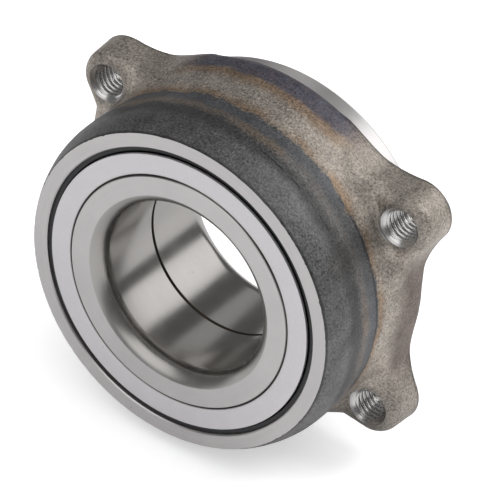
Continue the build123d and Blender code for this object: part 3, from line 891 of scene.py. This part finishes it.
def thread_tree():
    """Geometry nodes that turn each vertex into a closed sleeve with an internal thread along +Y."""
    tree = bpy.data.node_groups.new("Internal Thread", "GeometryNodeTree")
    kinds = {"Geometry": "Geometry", "Pitch": "Float", "Minor Radius": "Float", "Major Radius": "Float"}
    kinds |= {"Wall Radius": "Float", "Length": "Float", "Segments": "Int", "Rows": "Int"}
    kinds |= {"Material": "Material"}
    for name, kind in kinds.items():
        tree.interface.new_socket(name, in_out="INPUT", socket_type=f"NodeSocket{kind}")
    tree.interface.new_socket("Geometry", in_out="OUTPUT", socket_type="NodeSocketGeometry")
    m = Maths(tree)
    given = m.node("NodeGroupInput").outputs
    wall, length = given["Wall Radius"], given["Length"]
    # A square grid: u runs round the hole, and v runs down the thread and back up behind it.
    size = {"Size X": 1.0, "Size Y": 1.0, "Vertices X": given["Segments"], "Vertices Y": given["Rows"]}
    grid = m.node("GeometryNodeMeshGrid", size)
    spot = m.node("ShaderNodeSeparateXYZ", {0: m.node("GeometryNodeInputPosition").outputs[0]})
    u, v = (m.add(spot.outputs[axis], 0.5) for axis in ("X", "Y"))
    front_share = 1 - THREAD_BACK_SHARE
    inner = m.sum("DIVIDE", v, front_share, clamp=True)
    back = m.sum("DIVIDE", m.less(v, front_share), THREAD_BACK_SHARE, clamp=True)
    down = m.times(m.less(inner, back), length)
    phase = m.sum("FRACT", m.less(m.sum("DIVIDE", down, given["Pitch"]), u))
    wave = m.sum("ABSOLUTE", m.sum("MULTIPLY_ADD", phase, 2.0, -1.0))
    flank = m.sum("DIVIDE", m.less(wave, THREAD_CREST), THREAD_FLANK, clamp=True)
    height = m.less(given["Major Radius"], given["Minor Radius"])
    thread = m.sum("MULTIPLY_ADD", flank, height, given["Minor Radius"])
    inside = m.most(thread, m.less(wall, down), m.less(wall, m.less(length, down)))
    outside = m.add(wall, m.times(m.sum("SINE", m.times(back, pi)), THREAD_BACK_BULGE * MM))
    is_back = m.sum("GREATER_THAN", back, 0.0)
    radius = m.add(m.times(outside, is_back), m.times(inside, m.less(1.0, is_back)))
    turn = m.times(u, 2 * pi)
    x = m.times(radius, m.sum("SINE", turn))
    z = m.times(radius, m.sum("COSINE", turn))
    place_to = m.node("ShaderNodeCombineXYZ", {"X": x, "Y": down, "Z": z}).outputs[0]
    moved = {"Geometry": grid.outputs["Mesh"], "Position": place_to}
    shape = m.node("GeometryNodeSetPosition", moved).outputs[0]
    joined = {"Geometry": shape, "Distance": MERGE_DISTANCE * MM}
    sleeve = m.node("GeometryNodeMergeByDistance", joined).outputs[0]
    copied = {"Points": given["Geometry"], "Instance": sleeve}
    copies = m.node("GeometryNodeInstanceOnPoints", copied).outputs[0]
    real = m.node("GeometryNodeRealizeInstances", {"Geometry": copies}).outputs[0]
    finish = m.node("GeometryNodeSetMaterial", {"Geometry": real, "Material": given["Material"]})
    m.node("NodeGroupOutput", {0: finish.outputs[0]})
    return tree


def set_inputs(modifier, values):
    """Set geometry nodes inputs by the identifiers of their sockets."""
    sockets = [item for item in modifier.node_group.interface.items_tree if item.item_type == "SOCKET"]
    identifiers = {socket.name: socket.identifier for socket in sockets if socket.in_out == "INPUT"}
    for name, value in values.items():
        modifier[identifiers[name]] = value


# ---- finishes ----
class Finish(Maths):
    """A new principled material with the coordinates that the finishes share."""

    def __init__(self, name, metallic):
        self.material = bpy.data.materials.new(name)
        self.material.use_nodes = True
        super().__init__(self.material.node_tree)
        self.shader = self.tree.nodes["Principled BSDF"]
        self.shader.inputs["Metallic"].default_value = metallic
        self.object = self.node("ShaderNodeTexCoord").outputs["Object"]
        self.x, self.y, self.z = self.node("ShaderNodeSeparateXYZ", {0: self.object}).outputs
        self.radius = self.in_mm(self.reach(self.x, self.z))
        self.depth = self.in_mm(self.less(self.y, FRONT_Y * MM))
        self.angle = self.sum("ARCTAN2", self.z, self.x)

    def in_mm(self, value):
        """A length in millimetres."""
        return self.sum("DIVIDE", value, MM)

    def size(self, value):
        """A value without its sign."""
        return self.sum("ABSOLUTE", value)

    def noise(self, grain, detail=2.0, roughness=0.5):
        """Noise whose features are about this many millimetres across, from 0 to 1."""
        inputs = {"Vector": self.object, "Scale": 1 / (grain * MM), "Detail": detail, "Roughness": roughness}
        return self.node("ShaderNodeTexNoise", inputs).outputs[0]

    def ring_noise(self, width, around, detail=2.0):
        """Noise for tool marks about this wide that run round the axis."""
        across = {0: self.sum("DIVIDE", self.radius, width), 1: self.sum("DIVIDE", self.depth, width)}
        across[2] = self.times(self.sum("COSINE", self.angle), around)
        spot = self.node("ShaderNodeCombineXYZ", across).outputs[0]
        return self.node("ShaderNodeTexNoise", {"Vector": spot, "Scale": 1.0, "Detail": detail}).outputs[0]

    def spread(self, value, low, high):
        """Stretch the middle of a noise to the range from low to high."""
        inputs = {"Value": value, "From Min": NOISE_LOW, "From Max": NOISE_HIGH}
        inputs |= {"To Min": low, "To Max": high}
        return self.node("ShaderNodeMapRange", inputs).outputs["Result"]

    def dots(self, grain, low, high, share):
        """A few small dots, where a noise passes from low to high."""
        return self.step(self.noise(grain, 3.0, 0.7), low, high, share)

    def mix(self, factor, a, b, blend="MIX"):
        """Mix two colours."""
        a, b = (c if isinstance(c, bpy.types.NodeSocket) else (*c, 1.0) for c in (a, b))
        inputs = {"Factor": factor, MIX_COLOURS[0]: a, MIX_COLOURS[1]: b}
        return self.node("ShaderNodeMix", inputs, data_type="RGBA", blend_type=blend).outputs[MIX_RESULT]

    def shaded(self, colour, tone):
        """A colour times a value."""
        grey = self.node("ShaderNodeCombineColor", {0: tone, 1: tone, 2: tone}).outputs[0]
        return self.mix(1.0, colour, grey, "MULTIPLY")

    def look(self, colour, roughness):
        """Use this colour and roughness."""
        self.feed(self.shader.inputs["Base Color"], colour)
        self.feed(self.shader.inputs["Roughness"], roughness)

    def bump(self, height, distance, strength):
        """Add relief of this height in millimetres over what there is."""
        inputs = {"Height": height, "Distance": distance * MM, "Strength": strength}
        normal = self.shader.inputs["Normal"]
        if normal.is_linked:
            inputs["Normal"] = normal.links[0].from_socket
        self.feed(normal, self.node("ShaderNodeBump", inputs).outputs[0])


def darker(colour, share):
    """A fixed colour times a share."""
    return tuple(part * share for part in colour)


def heat_tints(f, depth, settings):
    """Dark barrel with a worn band, the web behind it, and rings of heat tint."""
    barrel = settings.barrel_colour
    base = f.mix(f.band(depth, *WORN_SPAN), barrel, darker(barrel, WORN_SHADE))
    base = f.mix(f.step(depth, *WEB_EDGE), base, settings.web_colour)
    patches = f.step(f.noise(14.0), *PATCH_EDGE)
    for tint, span, patchy, even in HEAT_TINTS:
        share = f.sum("MULTIPLY_ADD", patches, patchy, even)
        base = f.mix(f.times(f.band(depth, *span), share), base, getattr(settings, tint))
    return base


def rim_tints(f, base, depth, settings):
    """Straw, then purple on the long sides of the rim, and red brown on its short sides."""
    long_side = f.step(f.size(f.sum("SINE", f.angle)), *LONG_SIDE_SINE)
    rim = f.times(long_side, f.fall(f.radius, *RIM_RADII))
    base = f.mix(f.times(f.step(depth, *RIM_STRAW), rim), base, settings.straw_colour)
    purple = f.mix(f.step(f.noise(3.0), 0.4, 0.6), *RIM_PURPLES)
    base = f.mix(f.times(f.step(depth, *RIM_PURPLE), rim), base, purple)
    short_side = f.step(f.size(f.sum("COSINE", f.angle)), *SHORT_SIDE_COSINE)
    return f.mix(f.times(f.step(depth, *SHORT_SIDE), short_side), base, SHORT_SIDE_COLOUR)


def scale_and_painted_shade(f, base, wander, fray):
    """Scale and painted shade round the tapped holes, painted shade underneath and a painted shade line
    along the flange's rear edge.
    """
    off_x = f.less(f.in_mm(f.size(f.x)), HOLE_X)
    off_z = f.less(f.in_mm(f.size(f.z)), HOLE_Z)
    from_hole = f.add(f.reach(off_x, off_z), f.times(fray, HOLE_SCALE_AND_SHADE_FRAY))
    # Dark ring round each hole: scale and painted shade of the hollow round it.
    base = f.mix(f.fall(from_hole, *HOLE_SCALE_AND_SHADE), base, SCALE_AND_SHADE_COLOUR)
    # Painted shade: darker towards the bottom, below the axis.
    below = f.sum("MULTIPLY_ADD", wander, LOW_SHADE_WANDER, f.sum("DIVIDE", f.z, -MM))
    base = f.mix(f.step(below, *LOW_SHADE_BELOW_AXIS), base, LOW_SHADE_COLOUR)
    # Painted shade along the flange's rear edge.
    return f.mix(f.step(f.in_mm(f.y), *REAR_EDGE_SHADE), base, REAR_EDGE_SHADE_COLOUR)


def forging_lap(f, wander):
    """A short broken lap on the barrel, as a mask for its groove and for the painted shade in it."""
    off_line = f.size(f.less(f.add(f.depth, f.times(wander, LAP_WANDER)), LAP_DEPTH))
    window = f.fall(f.size(f.less(f.angle, LAP_ANGLE)), *LAP_REACH)
    return f.times(f.fall(off_line, *LAP_WIDTH), window, f.step(f.noise(2.5), 0.4, 0.55))


def valley_shade(f, wander):
    """Painted shade: a dark line in the valley between the barrel and the web, beside the ears."""
    off_line = f.size(f.less(f.add(f.depth, f.times(wander, VALLEY_WANDER)), VALLEY_DEPTH))
    beside_ears = f.fall(f.size(f.sum("SINE", f.angle)), *VALLEY_SINE)
    return f.times(f.fall(off_line, *VALLEY_WIDTH), beside_ears)


def forged_finish(settings):
    """Blasted forging: dark barrel, warm web and ears, heat tints, scale, painted shade in creases and
    hollows, and a pitted grain.
    """
    f = Finish("forged_steel", metallic=0.9)
    wander = f.less(f.noise(9.0, 3.0), 0.5)
    fray = f.less(f.noise(1.2, 3.0, 0.65), 0.5)
    depth = f.add(f.depth, f.add(f.times(wander, WANDER_REACH), f.times(fray, FRAY_REACH)))
    base = heat_tints(f, depth, settings)
    base = rim_tints(f, base, depth, settings)
    base = scale_and_painted_shade(f, base, wander, fray)
    mottle = f.spread(f.noise(5.0, 4.0, 0.6), 0.82, 1.16)
    speck = f.spread(f.noise(0.6, 3.0, 0.75), 0.4, 1.75)
    base = f.shaded(base, f.times(mottle, speck))
    lap = forging_lap(f, wander)
    # Painted shade: dark lines in the lap's crease, in the valley and along the face's edge.
    dark = f.most(f.times(lap, LAP_SHADE_SHARE), valley_shade(f, wander), f.fall(f.depth, *FACE_EDGE_SHADE))
    f.look(f.mix(dark, base, CREASE_SHADE_COLOUR), f.spread(f.noise(0.6), 0.42, 0.62))
    f.bump(f.noise(0.55, 3.0, 0.65), 0.2, 0.9)
    f.bump(f.noise(2.4), 0.25, 0.5)
    f.bump(f.less(1.0, lap), 0.1, 0.6)
    return f.material


def ground_finish(name, colour, roughness, specks=0.0):
    """Turned or ground steel with fine marks round the axis, a few handling marks and a painted sheen on the
    pilot.
    """
    f = Finish(name, STEEL_METALLIC)
    marks = f.ring_noise(0.16, 2.0, 3.0)
    cloud = f.noise(11.0, 3.0)
    tone = f.times(f.spread(marks, 0.95, 1.05), f.spread(f.ring_noise(1.6, 3.0), 0.975, 1.025))
    tone = f.times(tone, f.spread(cloud, 0.965, 1.03))
    # Painted sheen: the pilot's colour is lightened.
    pilot_sheen = f.step(f.in_mm(f.y), FLANGE_REAR_Y, FLANGE_REAR_Y + PILOT_SHEEN_START)
    base = f.shaded(f.mix(pilot_sheen, colour, darker(colour, PILOT_PAINTED_SHEEN)), tone)
    if specks:
        base = f.mix(f.dots(1.1, 0.735, 0.77, specks), base, SCALE_AND_SHADE_COLOUR)
    clouded = f.spread(cloud, roughness * 0.92, roughness * 1.1)
    f.look(base, f.times(f.spread(marks, 0.9, 1.12), clouded))
    f.bump(marks, 0.006, 0.6)
    return f.material


def bearing_finish(settings):
    """Ground inner ring: bright face, darker honed bore, grime in the split and the slinger joint."""
    f = Finish("ground_bearing_steel", STEEL_METALLIC)
    marks = f.ring_noise(0.2, 2.0, 3.0)
    cloud = f.noise(9.0, 4.0, 0.6)
    in_bore = f.fall(f.radius, *BORE_TONE_RADII)
    base = f.mix(in_bore, settings.face_colour, settings.bore_colour)
    base = f.shaded(base, f.times(f.spread(marks, 0.975, 1.025), f.spread(cloud, 0.955, 1.035)))
    split = f.fall(f.in_mm(f.size(f.y)), *SPLIT_GRIME)
    grime = f.most(f.dots(1.3, 0.725, 0.76, 0.5), split, f.step(f.radius, *RING_GRIME))
    on_wall = f.fall(f.radius, *SMOOTH_WALL_RADII)
    smooth = f.mix(on_wall, (FACE_ROUGHNESS,) * 3, (WALL_ROUGHNESS,) * 3)
    smooth = f.mix(split, smooth, (SPLIT_ROUGHNESS,) * 3)
    f.look(f.mix(grime, base, settings.grime_colour), f.shaded(smooth, f.spread(cloud, 0.9, 1.12)))
    f.bump(marks, 0.004, 0.5)
    return f.material


def slinger_finish(settings):
    """Matte pressed stainless sheet with faint scuffs and grime where it meets the inner ring."""
    f = Finish("stainless_sheet", metallic=0.85)
    cloud = f.noise(7.0, 4.0, 0.6)
    fine = f.noise(0.5)
    tone = f.times(f.spread(cloud, 0.96, 1.03), f.spread(fine, 0.97, 1.03))
    base = f.shaded(settings.slinger_colour, tone)
    base = f.mix(f.step(f.ring_noise(1.2, 18.0, 4.0), *SCUFF), base, SCUFF_COLOUR)
    grime = f.most(f.fall(f.radius, *SLINGER_GRIME), f.dots(1.1, 0.73, 0.76, 0.6))
    f.look(f.mix(grime, base, settings.grime_colour), f.spread(cloud, 0.42, 0.52))
    f.bump(fine, 0.008, 0.5)
    return f.material


def rubber_finish(settings):
    """Moulded nitrile rubber with a faint bloom."""
    f = Finish("seal_rubber", metallic=0.0)
    bloom = f.noise(4.0, 3.0)
    base = f.mix(f.spread(bloom, 0.0, 0.5), settings.rubber_colour, RUBBER_BLOOM_COLOUR)
    f.look(base, f.spread(bloom, 0.5, 0.68))
    f.bump(f.ring_noise(0.3, 4.0), 0.02, 0.4)
    return f.material


def cage_finish():
    """Moulded polyamide."""
    f = Finish("cage_polymer", metallic=0.0)
    f.look(f.mix(f.spread(f.noise(3.0, 3.0), 0.0, 1.0), *CAGE_COLOURS), f.spread(f.noise(0.5), 0.38, 0.5))
    f.bump(f.noise(0.35), 0.01, 0.6)
    return f.material


def bright_finish(name, colour, roughness):
    """Lapped or drawn steel with a faint film."""
    f = Finish(name, metallic=1.0)
    film = f.noise(2.5, 3.0)
    base = f.mix(f.spread(film, 0.0, 1.0), darker(colour, BRIGHT_FILM_SHADE), colour)
    f.look(base, f.spread(film, roughness * 0.85, roughness * 1.2))
    f.bump(f.noise(0.25), 0.002, 0.4)
    return f.material


def assign(node, finish):
    """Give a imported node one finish."""
    if not node.material_slots:
        node.data.materials.append(finish)
    for slot in node.material_slots:
        slot.link = "OBJECT"
        slot.material = finish


# ---- studio ----
def build_floor(settings):
    """A wide pale floor that keeps the contact shadow and is white to the camera."""
    half = FLOOR_HALF_WIDTH
    mesh = bpy.data.meshes.new("studio_floor")
    corners = [(-half, -half), (half, -half), (half, half), (-half, half)]
    mesh.from_pydata([(x, y, FLOOR_Z * MM) for x, y in corners], [], [(0, 1, 2, 3)])
    material = bpy.data.materials.new("studio_floor")
    material.use_nodes = True
    m = Maths(material.node_tree)
    shader = m.tree.nodes["Principled BSDF"]
    shader.inputs["Base Color"].default_value = (*settings.floor_colour, 1.0)
    shader.inputs["Roughness"].default_value = FLOOR_ROUGHNESS
    shader.inputs["Specular IOR Level"].default_value = FLOOR_SPECULAR
    seen = m.node("ShaderNodeLightPath").outputs
    reflected = m.times(seen["Is Glossy Ray"], settings.floor_reflection)
    strength = m.sum("MULTIPLY_ADD", seen["Is Camera Ray"], settings.floor_glow, reflected)
    glow = m.node("ShaderNodeEmission", {"Strength": strength})
    both = m.node("ShaderNodeAddShader", {0: shader.outputs[0], 1: glow.outputs[0]})
    m.feed(m.tree.nodes["Material Output"].inputs["Surface"], both.outputs[0])
    add_object("studio_floor", mesh, [material])


def build_lamps(settings):
    """Large soft lamps at the rear right, in front and overhead, and a small one on the right."""
    for name, glow, size, spot in LAMPS:
        data = bpy.data.lights.new(name, "AREA")
        data.shape = "SQUARE"
        data.size = size
        data.energy = getattr(settings, glow) * pi * size**2
        lamp = bpy.data.objects.new(name, data)
        lamp.location = spot
        lamp.rotation_euler = (-Vector(spot)).to_track_quat("-Z", "Y").to_euler()
        bpy.context.scene.collection.objects.link(lamp)


def build_world(settings):
    """Even light, darker in reflections, and plain white where the camera looks past the floor."""
    world = bpy.data.worlds.new("studio_world")
    bpy.context.scene.world = world
    world.use_nodes = True
    m = Maths(world.node_tree)
    background = m.tree.nodes["Background"]
    background.inputs["Color"].default_value = (1, 1, 1, 1)
    seen = m.node("ShaderNodeLightPath").outputs
    darkened = m.times(seen["Is Glossy Ray"], settings.room_glow - settings.room_reflection)
    room = m.less(settings.room_glow, darkened)
    m.feed(background.inputs["Strength"], m.most(room, seen["Is Camera Ray"]))


def build_camera(settings):
    """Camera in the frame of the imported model."""
    data = bpy.data.cameras.new("studio_camera")
    data.lens = settings.focal_length
    data.sensor_width = SENSOR_WIDTH
    camera = bpy.data.objects.new("studio_camera", data)
    turn = Matrix((CAMERA_RIGHT, CAMERA_UP, CAMERA_BACK)).transposed().to_4x4()
    camera.matrix_world = Matrix.Translation(Vector(CAMERA_PLACE) * MM) @ turn
    bpy.context.scene.collection.objects.link(camera)
    bpy.context.scene.camera = camera


# ---- operators ----
class HUB_OT_outer_ring(bpy.types.Operator):
    """Build the forged outer ring with its ears and drilled holes"""

    bl_idname = "hub.outer_ring"
    bl_label = "Outer Ring"

    def execute(self, context):
        settings = context.scene.hub_forging
        face_colour = tuple(context.scene.hub_machined.face_colour)
        turned = ground_finish("turned_face", face_colour, TURNED_ROUGHNESS, TURNED_SPECKS)
        ring = add_object("outer_ring_skin", outer_ring_mesh(settings), [forged_finish(settings), turned])
        cut_holes(ring, turned)
        place(ring, OUTER_BODY, FORGED_SLOT, "outer_ring")
        return {"FINISHED"}


class HUB_OT_threads(bpy.types.Operator):
    """Tap the four holes with geometry nodes"""

    bl_idname = "hub.threads"
    bl_label = "Tapped Threads"

    def execute(self, context):
        mesh = bpy.data.meshes.new("tapped_threads")
        starts = [(x * MM, THREAD_START_Y * MM, z * MM) for x, z in hole_centres()]
        mesh.from_pydata(starts, [], [])
        finish = ground_finish("cut_thread", THREAD_COLOUR, THREAD_ROUGHNESS)
        threads = add_object("tapped_threads", mesh, [finish])
        nodes = threads.modifiers.new("Thread", "NODES")
        nodes.node_group = thread_tree()
        set_inputs(nodes, {
            "Pitch": context.scene.hub_machined.thread_pitch,
            "Minor Radius": THREAD_MINOR_RADIUS * MM,
            "Major Radius": THREAD_MAJOR_RADIUS * MM,
            "Wall Radius": THREAD_WALL_RADIUS * MM,
            "Length": (THREAD_END_Y - THREAD_START_Y) * MM,
            "Segments": THREAD_SEGMENTS,
            "Rows": THREAD_ROWS,
            "Material": finish,
        })
        baked = bake(threads)
        point_outwards(baked)
        mark_sharp(baked, THREAD_SHARP_TURN)
        place(threads, OUTER_BODY, FORGED_SLOT)
        return {"FINISHED"}


class HUB_OT_inner_rings(bpy.types.Operator):
    """Turn the two inner rings"""

    bl_idname = "hub.inner_rings"
    bl_label = "Inner Rings"

    def execute(self, context):
        finish = bearing_finish(context.scene.hub_machined)
        add_turned(("inner_ring", inner_ring_outline(), finish, ROTOR_BODY, "ground_bearing_steel"))
        return {"FINISHED"}


class HUB_OT_seals(bpy.types.Operator):
    """Form the slingers and mould the seals"""

    bl_idname = "hub.seals"
    bl_label = "Slingers and Seals"

    def execute(self, context):
        settings = context.scene.hub_machined
        sheet = slinger_finish(settings)
        rubber = rubber_finish(settings)
        add_turned(
            ("slinger", slinger_outline(), sheet, ROTOR_BODY, "stainless_sheet"),
            ("seal_rubber", rubber_outline(), rubber, OUTER_BODY, "seal_rubber"),
        )
        return {"FINISHED"}


class HUB_OT_inside(bpy.types.Operator):
    """Finish the balls, cages, clip and seal cases"""

    bl_idname = "hub.inside"
    bl_label = "Balls, Cages and Cases"

    def execute(self, context):
        finishes = {start: bright_finish(*steel) for start, steel in BRIGHT_STEELS.items()}
        finishes["cage"] = cage_finish()
        for name, node in frame["nodes"].items():
            for start, finish in finishes.items():
                if name.startswith(start):
                    assign(node, finish)
        return {"FINISHED"}


class HUB_OT_stage(bpy.types.Operator):
    """Set the floor, lamps, world and camera"""

    bl_idname = "hub.stage"
    bl_label = "Studio"

    def execute(self, context):
        settings = context.scene.hub_studio
        build_floor(settings)
        build_lamps(settings)
        build_world(settings)
        build_camera(settings)
        context.scene.view_settings.view_transform = "Standard"
        return {"FINISHED"}


OPERATORS = (
    HUB_OT_outer_ring,
    HUB_OT_threads,
    HUB_OT_inner_rings,
    HUB_OT_seals,
    HUB_OT_inside,
    HUB_OT_stage,
)


class HUB_PT_panel(bpy.types.Panel):
    """Sidebar panel that lists the pieces and their settings"""

    bl_idname = "HUB_PT_panel"
    bl_label = "Hub Bearing"
    bl_space_type = "VIEW_3D"
    bl_region_type = "UI"
    bl_category = "Hub Bearing"

    def draw(self, context):
        for operator in OPERATORS:
            self.layout.operator(operator.bl_idname)
        for group in ("hub_forging", "hub_machined", "hub_studio"):
            settings = getattr(context.scene, group)
            for name in settings.__annotations__:
                self.layout.prop(settings, name)


CLASSES = (ForgingSettings, MachinedSettings, StudioSettings, *OPERATORS, HUB_PT_panel)


def register():
    """Register the classes and hang the settings on the scene."""
    for cls in CLASSES:
        bpy.utils.register_class(cls)
    bpy.types.Scene.hub_forging = PointerProperty(type=ForgingSettings)
    bpy.types.Scene.hub_machined = PointerProperty(type=MachinedSettings)
    bpy.types.Scene.hub_studio = PointerProperty(type=StudioSettings)


def unregister():
    """Take the settings and the classes away again."""
    del bpy.types.Scene.hub_studio
    del bpy.types.Scene.hub_machined
    del bpy.types.Scene.hub_forging
    for cls in reversed(CLASSES):
        bpy.utils.unregister_class(cls)


def main():
    """Build every piece and the studio."""
    register()
    bpy.ops.hub.outer_ring()
    bpy.ops.hub.threads()
    bpy.ops.hub.inner_rings()
    bpy.ops.hub.seals()
    bpy.ops.hub.inside()
    bpy.ops.hub.stage()


if __name__ == "__main__":
    main()
